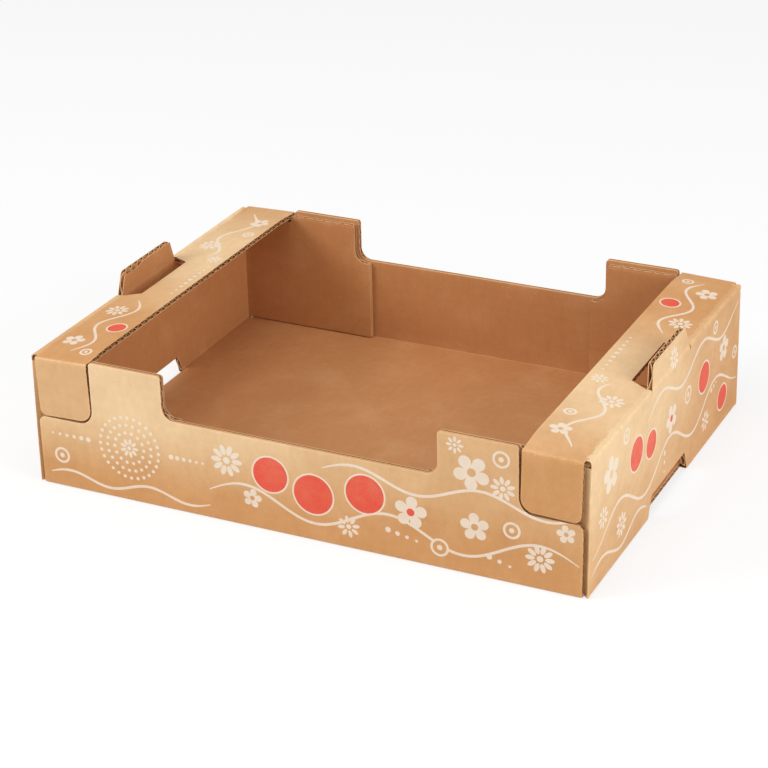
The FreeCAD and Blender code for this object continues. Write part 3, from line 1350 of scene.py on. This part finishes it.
def inset_outline(outline: Sequence[Point], inset: float) -> list[Point]:
    """Outline moved inward by a distance, or outward if it is negative.

    Args:
        outline: Points of the closed outline.
        inset: Distance to move it.

    Returns:
        Points of the closed outline.
    """
    shortest, sharpest, bluntest = 1e-6, 0.3, 1.1
    count = len(outline)
    sense = 1 if signed_area(outline) > 0 else -1
    ring = []
    for place in range(count):
        here = Vector(outline[place])
        ahead = Vector(outline[(place + 1) % count]) - here
        behind = here - Vector(outline[place - 1])
        if ahead.length < shortest or behind.length < shortest:
            continue
        normal = Vector((-ahead.normalized().y - behind.normalized().y,
                         ahead.normalized().x + behind.normalized().x))
        if normal.length < sharpest:
            continue
        stretch = 2 / max(normal.length, bluntest)
        ring.append(tuple(here + normal.normalized() * (sense * inset * stretch)))
    return ring


class PlyMesh:
    """Mesh of one of the three papers over the whole tray."""

    weld = 2e-5
    touching = 1e-3
    sharp_angle = 38.0
    # The pale mask is the painted sheen share, light painted into the outer paper's colour.
    masks = ("crease", "edge", "pale")

    def __init__(self, sheets: Sequence[Sheet], ply: Ply) -> None:
        """Keep what is built.

        Args:
            sheets: All parts of the flat sheet.
            ply: Which paper.
        """
        self.sheets = sheets
        self.ply = ply
        self.handling = Handling()

    def build(self) -> bpy.types.Object:
        """Cut, fold and weld all sheets, and give the paper its thickness.

        Returns:
            The new piece.
        """
        skin = bmesh.new()
        hidden = skin.verts.layers.float_vector.new("hidden")
        paper = skin.verts.layers.float_vector.new("paper")
        masks = {name: skin.verts.layers.float.new(name) for name in self.masks}
        for sheet in self.sheets:
            self.add_sheet(skin, sheet, hidden, paper, masks)
        bmesh.ops.remove_doubles(skin, verts=skin.verts, dist=self.weld)
        mesh = self.thicken(skin, hidden, paper, masks)
        skin.free()
        piece = bpy.data.objects.new(self.ply.value, mesh)
        bpy.context.scene.collection.objects.link(piece)
        return piece

    def add_sheet(self, skin: bmesh.types.BMesh, sheet: Sheet, hidden: object, paper: object,
                  masks: dict[str, object]) -> None:
        """Fold one sheet's triangles into the skin.

        Args:
            skin: Mesh of the visible face of the paper.
            sheet: Part of the flat sheet.
            hidden: Layer for the place of the hidden face.
            paper: Layer for the place on the unfolded blank.
            masks: Layers for the shares that the materials read.
        """
        piece = DieCutter(sheet, self.ply).cut()
        rim = self.rim_points(sheet, piece)
        made: dict[int, bmesh.types.BMVert] = {}
        for number in sorted({corner for triangle in piece.triangles for corner in triangle}):
            u, v = piece.points[number]
            shown, buried = sheet.board.depths(self.ply, v, 1.0 if number in rim else 0.0)
            vert = skin.verts.new(self.handling.settle(sheet.place(u, v, shown)) * MM)
            vert[hidden] = self.handling.settle(sheet.place(u, v, buried)) * MM
            across, along = sheet.paper_place(u, v)
            vert[paper] = (across * MM, along * MM, shown * MM)
            vert[masks["crease"]] = sheet.crease_mask(u, v)
            vert[masks["edge"]] = 1.0 if number in rim else 0.0
            # Painted sheen share of this point.
            vert[masks["pale"]] = sheet.painted_sheen(u, v)
            made[number] = vert
        for triangle, surface in zip(piece.triangles, piece.surfaces):
            corners = [made[number] for number in triangle]
            normal = (corners[1].co - corners[0].co).cross(corners[2].co - corners[0].co)
            outward = corners[0].co - corners[0][hidden]
            if normal.dot(outward) < 0:
                corners.reverse()
            face = skin.faces.new(corners)
            face.material_index = surface.value

    def rim_points(self, sheet: Sheet, piece: CutPiece) -> set[int]:
        """Numbers of the points on a cut edge, not counting the joins between sheets.

        Args:
            sheet: Part of the flat sheet.
            piece: Its triangles.

        Returns:
            Numbers of the points.
        """
        uses: dict[tuple[int, int], int] = {}
        for triangle in piece.triangles:
            for place in range(3):
                pair = tuple(sorted((triangle[place], triangle[place - 1])))
                uses[pair] = uses.get(pair, 0) + 1
        rim: set[int] = set()
        for pair, count in uses.items():
            if count > 1 or self.on_seam(sheet, piece, pair):
                continue
            rim.update(pair)
        return rim

    def on_seam(self, sheet: Sheet, piece: CutPiece, pair: tuple[int, int]) -> bool:
        """Whether an edge lies where this sheet runs on into the next one.

        Args:
            sheet: Part of the flat sheet.
            piece: Its triangles.
            pair: Numbers of the edge's two points.

        Returns:
            True on a join.
        """
        for seam, half in sheet.seams():
            if all(abs(piece.points[number][0] - seam) < self.touching
                   and abs(piece.points[number][1]) < half + self.touching for number in pair):
                return True
        return False

    def thicken(self, skin: bmesh.types.BMesh, hidden: object, paper: object,
                masks: dict[str, object]) -> bpy.types.Mesh:
        """Mesh with both faces of the paper and its cut edges.

        Args:
            skin: Mesh of the visible face of the paper.
            hidden: Layer with the place of the hidden face.
            paper: Layer with the place on the unfolded blank.
            masks: Layers with the shares that the materials read.

        Returns:
            The new mesh.
        """
        count = len(skin.verts)
        skin.verts.index_update()
        skin.verts.ensure_lookup_table()
        places = [vert.co.copy() for vert in skin.verts] + [vert[hidden].copy() for vert in skin.verts]
        faces, surfaces = [], []
        for face in skin.faces:
            numbers = [vert.index for vert in face.verts]
            faces.append(numbers)
            surfaces.append(face.material_index)
            faces.append([number + count for number in reversed(numbers)])
            surfaces.append(Surface.BARE_CORE.value)
        for border in skin.edges:
            if len(border.link_loops) != 1:
                continue
            loop = border.link_loops[0]
            first, last = loop.vert.index, loop.link_loop_next.vert.index
            faces.append([last, first, first + count, last + count])
            surfaces.append(Surface.CUT.value)
        mesh = bpy.data.meshes.new(self.ply.value)
        mesh.from_pydata(places, [], faces)
        mesh.polygons.foreach_set("material_index", surfaces)
        self.store(mesh, "paper", "FLOAT_VECTOR", [tuple(vert[paper]) for vert in skin.verts] * 2)
        for name, layer in masks.items():
            self.store(mesh, name, "FLOAT", [vert[layer] for vert in skin.verts] * 2)
        mesh.shade_smooth()
        mesh.set_sharp_from_angle(angle=math.radians(self.sharp_angle))
        return mesh

    def store(self, mesh: bpy.types.Mesh, name: str, kind: str, values: Sequence) -> None:
        """Write one value for each point of the mesh, for the materials to read.

        Args:
            mesh: Mesh that gets the values.
            name: Name of the values.
            kind: Blender's name of their type.
            values: One value for each point.
        """
        layer = mesh.attributes.new(name, kind, "POINT")
        if kind == "FLOAT_VECTOR":
            layer.data.foreach_set("vector", [number for value in values for number in value])
        else:
            layer.data.foreach_set("value", values)


class NodeTree:
    """Short way to write a shader tree or a node group."""

    def __init__(self, tree: bpy.types.NodeTree) -> None:
        """Keep the tree that the nodes go into."""
        self.tree = tree

    def add(self, kind: str, inputs: Optional[dict] = None, **settings: object) -> bpy.types.Node:
        """Add a node.

        Args:
            kind: Blender's name of the node type.
            inputs: Values or sockets for its inputs, by name or number.
            settings: Properties of the node itself.

        Returns:
            The new node.
        """
        node = self.tree.nodes.new(kind)
        for name, value in settings.items():
            setattr(node, name, value)
        for name, value in (inputs or {}).items():
            self.feed(node.inputs[name], value)
        return node

    def feed(self, target: bpy.types.NodeSocket, value: object) -> None:
        """Link a socket to the target, or set the target's value.

        Args:
            target: Input that is fed.
            value: Value, colour or socket.
        """
        if isinstance(value, bpy.types.NodeSocket):
            self.tree.links.new(value, target)
        else:
            target.default_value = value

    def math(self, operation: str, first: object, second: object = 0.0, clamp: bool = False) -> object:
        """Output of a math node."""
        node = self.add("ShaderNodeMath", {0: first, 1: second}, operation=operation, use_clamp=clamp)
        return node.outputs[0]

    def scale(self, vector: object, factors: tuple[float, float, float]) -> object:
        """Vector multiplied by three factors."""
        return self.add("ShaderNodeVectorMath", {0: vector, 1: factors}, operation="MULTIPLY").outputs[0]

    def noise(self, vector: object, scale: float, detail: float = 3.0, roughness: float = 0.55) -> object:
        """Noise value between 0 and 1."""
        return self.add("ShaderNodeTexNoise", {"Vector": vector, "Scale": scale, "Detail": detail,
                                               "Roughness": roughness}).outputs["Fac"]

    def ramp(self, value: object, low: float, high: float, start: float = 0.0, end: float = 1.0) -> object:
        """Value mapped from one range to another and held at the ends."""
        return self.add("ShaderNodeMapRange", {0: value, 1: low, 2: high, 3: start, 4: end}).outputs[0]

    def mix(self, share: object, first: object, second: object, blend: str = "MIX") -> object:
        """Mix of two colours.

        Args:
            share: Share of the second colour.
            first: First colour.
            second: Second colour.
            blend: Way of mixing.

        Returns:
            Output with the mixed colour.
        """
        node = self.add("ShaderNodeMix", data_type="RGBA", blend_type=blend, clamp_factor=True)
        self.feed(node.inputs[0], share)
        self.feed(node.inputs[6], first)
        self.feed(node.inputs[7], second)
        return node.outputs[2]


class GroupBuilder:
    """Node groups that several finishes share; scales are in features per metre."""

    cloud_scale = 26.0
    blotch_scale = 190.0
    fibre_scale = 620.0
    fine_scale = 1900.0
    fleck_scale = 950.0
    rub_scale = 120.0
    crack_scale = 520.0
    ink_grain_scale = 1100.0
    ink_cloud_scale = 90.0
    cloud_share = 0.30
    blotch_share = 0.34
    fibre_share = 0.42
    fine_share = 0.26
    crest_share = 0.35
    pale_drift = 0.10
    light_tone: Colour = (1.20, 1.22, 1.26, 1)
    dark_tone: Colour = (0.83, 0.79, 0.74, 1)
    rubbed_tone: Colour = (1.25, 1.26, 1.28, 1)
    dark_fleck: Colour = (0.11, 0.055, 0.025, 1)
    pale_fleck: Colour = (0.92, 0.78, 0.60, 1)
    cracked: Colour = (0.85, 0.70, 0.52, 1)

    def new(self, name: str, inputs: dict[str, tuple[str, object]], outputs: dict[str, str]) -> NodeTree:
        """Empty group with its sockets.

        Args:
            name: Name of the group.
            inputs: Socket type and default for each input.
            outputs: Socket type for each output.

        Returns:
            The group, ready to be filled.
        """
        tree = bpy.data.node_groups.new(name, "ShaderNodeTree")
        for label, (kind, default) in inputs.items():
            socket = tree.interface.new_socket(label, in_out="INPUT", socket_type=kind)
            if default is not None:
                socket.default_value = default
        for label, kind in outputs.items():
            tree.interface.new_socket(label, in_out="OUTPUT", socket_type=kind)
        return NodeTree(tree)

    def kraft_fibre(self) -> bpy.types.NodeTree:
        """Mottled brown paper with fibres, flecks and faint flute lines, and painted sheen from the Pale
        input.

        Returns:
            The filled group.
        """
        # Pale is the painted sheen share and Pale Colour the lighter tone that it mixes towards.
        group = self.new("kraft_fibre", {
            "Place": ("NodeSocketVector", None),
            "Colour": ("NodeSocketColor", (0.6, 0.4, 0.2, 1)),
            "Mottle": ("NodeSocketFloat", 0.5),
            "Fleck": ("NodeSocketFloat", 0.5),
            "Pale Colour": ("NodeSocketColor", (0.7, 0.5, 0.3, 1)),
            "Pale": ("NodeSocketFloat", 0.0),
            "Flute Pitch": ("NodeSocketFloat", 0.0078),
            "Flute Show": ("NodeSocketFloat", 0.1)}, {
            "Colour": "NodeSocketColor", "Height": "NodeSocketFloat", "Roughness": "NodeSocketFloat"})
        into = group.add("NodeGroupInput").outputs
        place = into["Place"]
        cloud = group.ramp(group.noise(place, self.cloud_scale, 4.0), 0.3, 0.7, -1.0, 1.0)
        blotch = group.noise(group.scale(place, (1.0, 0.5, 1.0)), self.blotch_scale, 3.0)
        blotch = group.ramp(blotch, 0.3, 0.7, -1.0, 1.0)
        fibre = group.noise(group.scale(place, (3.2, 0.6, 1.0)), self.fibre_scale, 4.0, 0.7)
        fibre = group.ramp(fibre, 0.25, 0.75, -1.0, 1.0)
        fine = group.noise(group.scale(place, (1.0, 2.6, 1.0)), self.fine_scale, 2.0, 0.6)
        fine = group.ramp(fine, 0.25, 0.75, -1.0, 1.0)
        across = group.add("ShaderNodeSeparateXYZ", {0: place}).outputs[1]
        turn = group.math("DIVIDE", group.math("MULTIPLY", across, 2 * math.pi), into["Flute Pitch"])
        wobble = group.math("MULTIPLY", cloud, 0.35)
        crest = group.math("SINE", group.math("ADD", turn, wobble))
        crest = group.math("MULTIPLY", crest, into["Flute Show"])
        tone = group.math("MULTIPLY", cloud, self.cloud_share)
        for layer, share in ((blotch, self.blotch_share), (fibre, self.fibre_share), (fine, self.fine_share)):
            tone = group.math("ADD", tone, group.math("MULTIPLY", layer, share))
        tone = group.math("MULTIPLY", tone, into["Mottle"])
        tone = group.math("ADD", tone, group.math("MULTIPLY", crest, self.crest_share))
        # Painted sheen: the Pale share, plus a little random cloud, mixes the paper towards Pale Colour.
        drift = group.math("MULTIPLY", cloud, self.pale_drift)
        drift = group.math("ADD", into["Pale"], drift, clamp=True)
        paper = group.mix(drift, into["Colour"], into["Pale Colour"])
        light = group.mix(1.0, paper, self.light_tone, "MULTIPLY")
        dark = group.mix(1.0, paper, self.dark_tone, "MULTIPLY")
        colour = group.mix(group.ramp(tone, -1.0, 1.0), dark, light)
        specks = group.noise(group.scale(place, (1.0, 1.9, 1.0)), self.fleck_scale, 1.0, 0.4)
        dark_fleck = group.math("MULTIPLY", group.ramp(specks, 0.72, 0.79), into["Fleck"])
        pale_fleck = group.math("MULTIPLY", group.ramp(specks, 0.28, 0.22), into["Fleck"])
        colour = group.mix(dark_fleck, colour, self.dark_fleck)
        colour = group.mix(pale_fleck, colour, self.pale_fleck)
        height = group.math("ADD", group.math("MULTIPLY", fibre, 0.5), group.math("MULTIPLY", fine, 0.35))
        height = group.math("ADD", height, group.math("MULTIPLY", crest, 2.0))
        rough = group.ramp(tone, -1.0, 1.0, 0.72, 0.60)
        group.add("NodeGroupOutput", {"Colour": colour, "Height": height, "Roughness": rough})
        return group.tree

    def handling_wear(self) -> bpy.types.NodeTree:
        """Creases that turn pale and crack, and cut edges that turn pale and fuzzy.

        Returns:
            The filled group.
        """
        group = self.new("handling_wear", {
            "Colour": ("NodeSocketColor", (0.6, 0.4, 0.2, 1)),
            "Place": ("NodeSocketVector", None),
            "Crease": ("NodeSocketFloat", 0.0),
            "Edge": ("NodeSocketFloat", 0.0),
            "Amount": ("NodeSocketFloat", 0.5)}, {
            "Colour": "NodeSocketColor", "Height": "NodeSocketFloat"})
        into = group.add("NodeGroupInput").outputs
        rub = group.ramp(group.noise(into["Place"], self.rub_scale, 5.0, 0.65), 0.38, 0.66)
        crack = group.noise(group.scale(into["Place"], (1.6, 1.6, 1.0)), self.crack_scale, 4.0, 0.7)
        crack = group.ramp(crack, 0.50, 0.66)
        crease = group.math("MULTIPLY", group.math("MULTIPLY", into["Crease"], rub), into["Amount"])
        edge = group.math("MULTIPLY", group.math("MULTIPLY", into["Edge"], 0.55), into["Amount"])
        pale = group.mix(1.0, into["Colour"], self.rubbed_tone, "MULTIPLY")
        colour = group.mix(crease, into["Colour"], pale)
        colour = group.mix(edge, colour, pale)
        line = group.math("MULTIPLY", group.math("MULTIPLY", crack, into["Crease"]), into["Amount"])
        colour = group.mix(group.math("MULTIPLY", line, 0.4), colour, self.cracked)
        height = group.math("MULTIPLY", line, -1.0)
        group.add("NodeGroupOutput", {"Colour": colour, "Height": height})
        return group.tree

    def printed_ink(self) -> bpy.types.NodeTree:
        """Ink on rough paper, thinner on the paper's high spots.

        Returns:
            The filled group.
        """
        group = self.new("printed_ink", {
            "Paper": ("NodeSocketColor", (0.6, 0.4, 0.2, 1)),
            "Ink": ("NodeSocketColor", (1, 1, 1, 1)),
            "Place": ("NodeSocketVector", None),
            "Cover": ("NodeSocketFloat", 0.95)}, {
            "Colour": "NodeSocketColor", "Height": "NodeSocketFloat"})
        into = group.add("NodeGroupInput").outputs
        grain = group.noise(group.scale(into["Place"], (1.0, 1.5, 1.0)), self.ink_grain_scale, 3.0, 0.7)
        grain = group.ramp(grain, 0.30, 0.58)
        cloud = group.ramp(group.noise(into["Place"], self.ink_cloud_scale, 3.0), 0.30, 0.70, 0.82, 1.0)
        thin = group.ramp(grain, 0.0, 1.0, 0.72, 1.0)
        cover = group.math("MULTIPLY", group.math("MULTIPLY", thin, cloud), into["Cover"])
        colour = group.mix(cover, into["Paper"], into["Ink"])
        group.add("NodeGroupOutput", {"Colour": colour, "Height": group.math("MULTIPLY", grain, 0.4)})
        return group.tree


@dataclass(frozen=True)
class PaperFinish:
    """One face of paper, bare or printed."""

    name: str
    colour: Colour
    mottle: float = 0.55
    fleck: float = 0.45
    flute_show: float = 0.08
    # Painted sheen: the outer paper is mixed towards this lighter colour by the pale mask times the share
    # below; random cloud also drifts a little towards the colour.
    sheen_and_tone_colour: Colour = screen_colour(218, 186, 142)
    painted_sheen_share: float = 1.0
    wear: float = 0.6
    bump: float = 0.3
    bump_depth: float = 0.00006
    ink: Optional[Colour] = None
    cover: float = 0.96
    specular: float = 0.5

    def material(self, groups: dict[str, bpy.types.NodeTree], pitch: float) -> bpy.types.Material:
        """Build the material.

        Args:
            groups: Shared node groups by name.
            pitch: Flute pitch in metres.

        Returns:
            The new material.
        """
        material = bpy.data.materials.new(self.name)
        material.use_nodes = True
        material.node_tree.nodes.clear()
        tree = NodeTree(material.node_tree)
        place = tree.add("ShaderNodeAttribute", attribute_name="paper").outputs["Vector"]
        crease = tree.add("ShaderNodeAttribute", attribute_name="crease").outputs["Fac"]
        edge = tree.add("ShaderNodeAttribute", attribute_name="edge").outputs["Fac"]
        # pale carries the painted sheen share from the mesh.
        pale = tree.add("ShaderNodeAttribute", attribute_name="pale").outputs["Fac"]
        fibre = tree.add("ShaderNodeGroup", node_tree=groups["kraft_fibre"])
        for label, value in (("Place", place), ("Colour", self.colour), ("Mottle", self.mottle),
                             ("Fleck", self.fleck), ("Flute Pitch", pitch), ("Flute Show", self.flute_show),
                             ("Pale Colour", self.sheen_and_tone_colour),
                             ("Pale", tree.math("MULTIPLY", pale, self.painted_sheen_share))):
            tree.feed(fibre.inputs[label], value)
        colour = fibre.outputs["Colour"]
        height = fibre.outputs["Height"]
        if self.ink:
            ink = tree.add("ShaderNodeGroup", node_tree=groups["printed_ink"])
            for label, value in (("Paper", colour), ("Ink", self.ink), ("Place", place),
                                 ("Cover", self.cover)):
                tree.feed(ink.inputs[label], value)
            colour = ink.outputs["Colour"]
            height = tree.math("ADD", height, ink.outputs["Height"])
        wear = tree.add("ShaderNodeGroup", node_tree=groups["handling_wear"])
        for label, value in (("Colour", colour), ("Place", place), ("Crease", crease), ("Edge", edge),
                             ("Amount", self.wear)):
            tree.feed(wear.inputs[label], value)
        height = tree.math("ADD", height, wear.outputs["Height"])
        bump = tree.add("ShaderNodeBump", {"Strength": self.bump, "Distance": self.bump_depth,
                                           "Height": height})
        shader = tree.add("ShaderNodeBsdfPrincipled", {
            "Base Color": wear.outputs["Colour"], "Roughness": fibre.outputs["Roughness"],
            "Normal": bump.outputs["Normal"], "Specular IOR Level": self.specular})
        tree.add("ShaderNodeOutputMaterial", {"Surface": shader.outputs[0]})
        return material


class TrayBox:
    """The folded tray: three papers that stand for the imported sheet."""

    kraft = screen_colour(191, 138, 83)
    inner_kraft = screen_colour(182, 124, 74)
    core = screen_colour(178, 130, 84)
    cut_edge = screen_colour(214, 170, 122)
    white_ink = screen_colour(224, 211, 194)
    red_ink = screen_colour(216, 38, 27)

    def __init__(self, sizes: TraySizes) -> None:
        """Lay out the five parts of the flat sheet.

        Args:
            sizes: Sizes of the tray.
        """
        self.sizes = sizes
        self.sheets: list[Sheet] = [Trough(sizes)]
        for side in (1, -1):
            self.sheets += [EndTurn(sizes, side), Ledge(sizes, side)]

    def finishes(self) -> dict[Surface, PaperFinish]:
        """Finish of each surface of the printed side."""
        return {
            Surface.KRAFT: PaperFinish("kraft_outside", self.kraft),
            Surface.WHITE: PaperFinish("kraft_white_ink", self.kraft, ink=self.white_ink),
            Surface.RED: PaperFinish("kraft_red_ink", self.kraft, ink=self.red_ink),
            Surface.BARE_CORE: PaperFinish("flute_paper", self.core, mottle=0.5, flute_show=0.0,
                                           painted_sheen_share=0.0),
            Surface.CUT: PaperFinish("cut_paper", self.cut_edge, mottle=0.9, flute_show=0.0,
                                     painted_sheen_share=0.0)}

    def dress(self, groups: dict[str, bpy.types.NodeTree]) -> list[bpy.types.Object]:
        """Build the three papers with their materials.

        Args:
            groups: Shared node groups by name.

        Returns:
            The new pieces.
        """
        pitch = self.sizes.board.pitch * MM
        made = {surface: finish.material(groups, pitch) for surface, finish in self.finishes().items()}
        inner = PaperFinish("kraft_inside", self.inner_kraft, mottle=0.5, wear=0.35, flute_show=0.12,
                            painted_sheen_share=0.0).material(groups, pitch)
        fluting = PaperFinish("fluting", self.core, mottle=0.6, flute_show=0.0, wear=0.2,
                              painted_sheen_share=0.0).material(groups, pitch)
        faces = {Ply.OUTER: made[Surface.KRAFT], Ply.INNER: inner, Ply.MEDIUM: fluting}
        pieces = []
        for ply in Ply:
            piece = PlyMesh(self.sheets, ply).build()
            for surface in Surface:
                shown = faces[ply] if surface is Surface.KRAFT else made[surface]
                piece.data.materials.append(shown)
            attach(piece, "root")
            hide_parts("folded_tray")
            LOG.info("%s has %d faces", piece.name, len(piece.data.polygons))
            pieces.append(piece)
        return pieces


@dataclass(frozen=True)
class GlueFinish:
    """Pressed-out hot-melt glue."""

    colour: Colour = screen_colour(226, 206, 158)
    cloudy: Colour = screen_colour(240, 228, 196)
    cloud_scale: float = 300.0
    roughness: float = 0.35
    bump: float = 0.4
    bump_depth: float = 0.0001
    translucency: float = 0.2

    def material(self) -> bpy.types.Material:
        """Build the material, cloudy with trapped air.

        Returns:
            The new material.
        """
        material = bpy.data.materials.new("hot_melt_glue")
        material.use_nodes = True
        material.node_tree.nodes.clear()
        tree = NodeTree(material.node_tree)
        place = tree.add("ShaderNodeTexCoord").outputs["Object"]
        cloud = tree.ramp(tree.noise(place, self.cloud_scale), 0.3, 0.7)
        colour = tree.mix(cloud, self.colour, self.cloudy)
        bump = tree.add("ShaderNodeBump", {"Strength": self.bump, "Distance": self.bump_depth,
                                           "Height": cloud})
        shader = tree.add("ShaderNodeBsdfPrincipled", {
            "Base Color": colour, "Roughness": self.roughness, "Normal": bump.outputs["Normal"],
            "Subsurface Weight": self.translucency})
        tree.add("ShaderNodeOutputMaterial", {"Surface": shader.outputs[0]})
        return material

    def dress(self) -> None:
        """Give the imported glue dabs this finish."""
        material = self.material()
        dabs = frame["nodes"]["glue_dabs"]
        for holder in (dabs if isinstance(dabs, (list, tuple)) else [dabs]):
            for slot in holder.material_slots:
                slot.material = material
        LOG.info("glue_dabs dressed")


@dataclass(frozen=True)
class Lamp:
    """Square soft lamp: where it hangs and its side in metres, and its power in watts."""

    name: str
    place: tuple[float, float, float]
    size: float
    power: float


@dataclass(frozen=True)
class Studio:
    """Pale floor, soft light and the camera."""

    azimuth: float = 26.09
    elevation: float = 25.62
    roll: float = -1.40
    distance: float = 1.6112
    focal_pixels: float = 2324.6
    frame_pixels: float = 768.0
    sensor: float = 36.0
    view_reach: float = 50.0
    target: tuple[float, float, float] = (-0.00567, -0.00823, 0.04708)
    lamp_aim: tuple[float, float, float] = (0.0, 0.0, 0.05)
    lamps: tuple[Lamp, ...] = (Lamp("front_lamp", (-1.5, -1.4, 1.3), 0.9, 25),
                               Lamp("end_lamp", (1.9, -0.4, 0.9), 1.0, 21),
                               Lamp("top_lamp", (0.0, -0.5, 2.2), 1.5, 16))
    ambient: float = 0.52
    floor_half: float = 6.0
    floor_drop: float = 0.0002
    floor_colour: Colour = (0.86, 0.86, 0.86, 1)
    floor_glow: float = 0.72

    def camera(self) -> None:
        """Camera at the photographed angle."""
        azimuth, elevation = math.radians(self.azimuth), math.radians(self.elevation)
        back = Vector((math.sin(azimuth) * math.cos(elevation), -math.cos(azimuth) * math.cos(elevation),
                       math.sin(elevation)))
        right = (-back).cross(Vector((0, 0, 1))).normalized()
        up = right.cross(-back)
        turn = math.radians(self.roll)
        rolled_right = right * math.cos(turn) + up * math.sin(turn)
        rolled_up = up * math.cos(turn) - right * math.sin(turn)
        data = bpy.data.cameras.new("camera")
        data.sensor_width = self.sensor
        data.lens = self.focal_pixels * self.sensor / self.frame_pixels
        data.clip_end = self.view_reach
        camera = bpy.data.objects.new("camera", data)
        axes = Matrix((rolled_right, rolled_up, back)).transposed().to_4x4()
        camera.matrix_world = Matrix.Translation(Vector(self.target) + back * self.distance) @ axes
        bpy.context.scene.collection.objects.link(camera)
        bpy.context.scene.camera = camera

    def lights(self) -> None:
        """Large soft lamps in front, at the right end and above, all turned to the tray."""
        for lamp in self.lamps:
            data = bpy.data.lights.new(lamp.name, "AREA")
            data.size = lamp.size
            data.energy = lamp.power
            light = bpy.data.objects.new(lamp.name, data)
            light.location = lamp.place
            aim = Vector(self.lamp_aim) - Vector(lamp.place)
            light.rotation_euler = aim.to_track_quat("-Z", "Y").to_euler()
            bpy.context.scene.collection.objects.link(light)

    def world(self) -> None:
        """White surroundings, at a plain level for the light that they cast."""
        world = bpy.data.worlds.new("surroundings")
        bpy.context.scene.world = world
        world.use_nodes = True
        world.node_tree.nodes.clear()
        tree = NodeTree(world.node_tree)
        rays = tree.add("ShaderNodeLightPath").outputs
        seen = tree.math("MAXIMUM", rays["Is Camera Ray"], rays["Is Glossy Ray"])
        seen = tree.math("MAXIMUM", seen, rays["Is Transmission Ray"])
        level = tree.ramp(seen, 0.0, 1.0, self.ambient, 1.0)
        sky = tree.add("ShaderNodeBackground", {"Color": (1, 1, 1, 1), "Strength": level})
        tree.add("ShaderNodeOutputWorld", {"Surface": sky.outputs[0]})

    def floor(self) -> None:
        """Wide white floor that shows only a faint shadow."""
        half = self.floor_half
        corners = [(-half, -half, 0), (half, -half, 0), (half, half, 0), (-half, half, 0)]
        mesh = bpy.data.meshes.new("floor")
        mesh.from_pydata(corners, [], [(0, 1, 2, 3)])
        floor = bpy.data.objects.new("floor", mesh)
        floor.location.z = -self.floor_drop
        bpy.context.scene.collection.objects.link(floor)
        material = bpy.data.materials.new("floor_white")
        material.use_nodes = True
        material.node_tree.nodes.clear()
        tree = NodeTree(material.node_tree)
        rays = tree.add("ShaderNodeLightPath").outputs
        seen = tree.math("MAXIMUM", rays["Is Camera Ray"], rays["Is Glossy Ray"])
        plain = tree.add("ShaderNodeBsdfDiffuse", {"Color": self.floor_colour})
        glow = tree.add("ShaderNodeEmission", {"Color": (1, 1, 1, 1), "Strength": 1.0})
        share = tree.math("MULTIPLY", seen, self.floor_glow)
        both = tree.add("ShaderNodeMixShader", {0: share, 1: plain.outputs[0], 2: glow.outputs[0]})
        tree.add("ShaderNodeOutputMaterial", {"Surface": both.outputs[0]})
        floor.data.materials.append(material)


def main() -> None:
    """Build the tray, its glue and the studio, in that order."""
    logging.basicConfig(level=logging.INFO, format="%(name)s: %(message)s")
    builder = GroupBuilder()
    groups = {"kraft_fibre": builder.kraft_fibre(), "handling_wear": builder.handling_wear(),
              "printed_ink": builder.printed_ink()}
    sizes = TraySizes.from_frame()
    TrayBox(sizes).dress(groups)
    GlueFinish().dress()
    studio = Studio()
    studio.camera()
    studio.lights()
    studio.world()
    studio.floor()
    bpy.context.scene.view_settings.view_transform = "Standard"


if __name__ == "__main__":
    main()
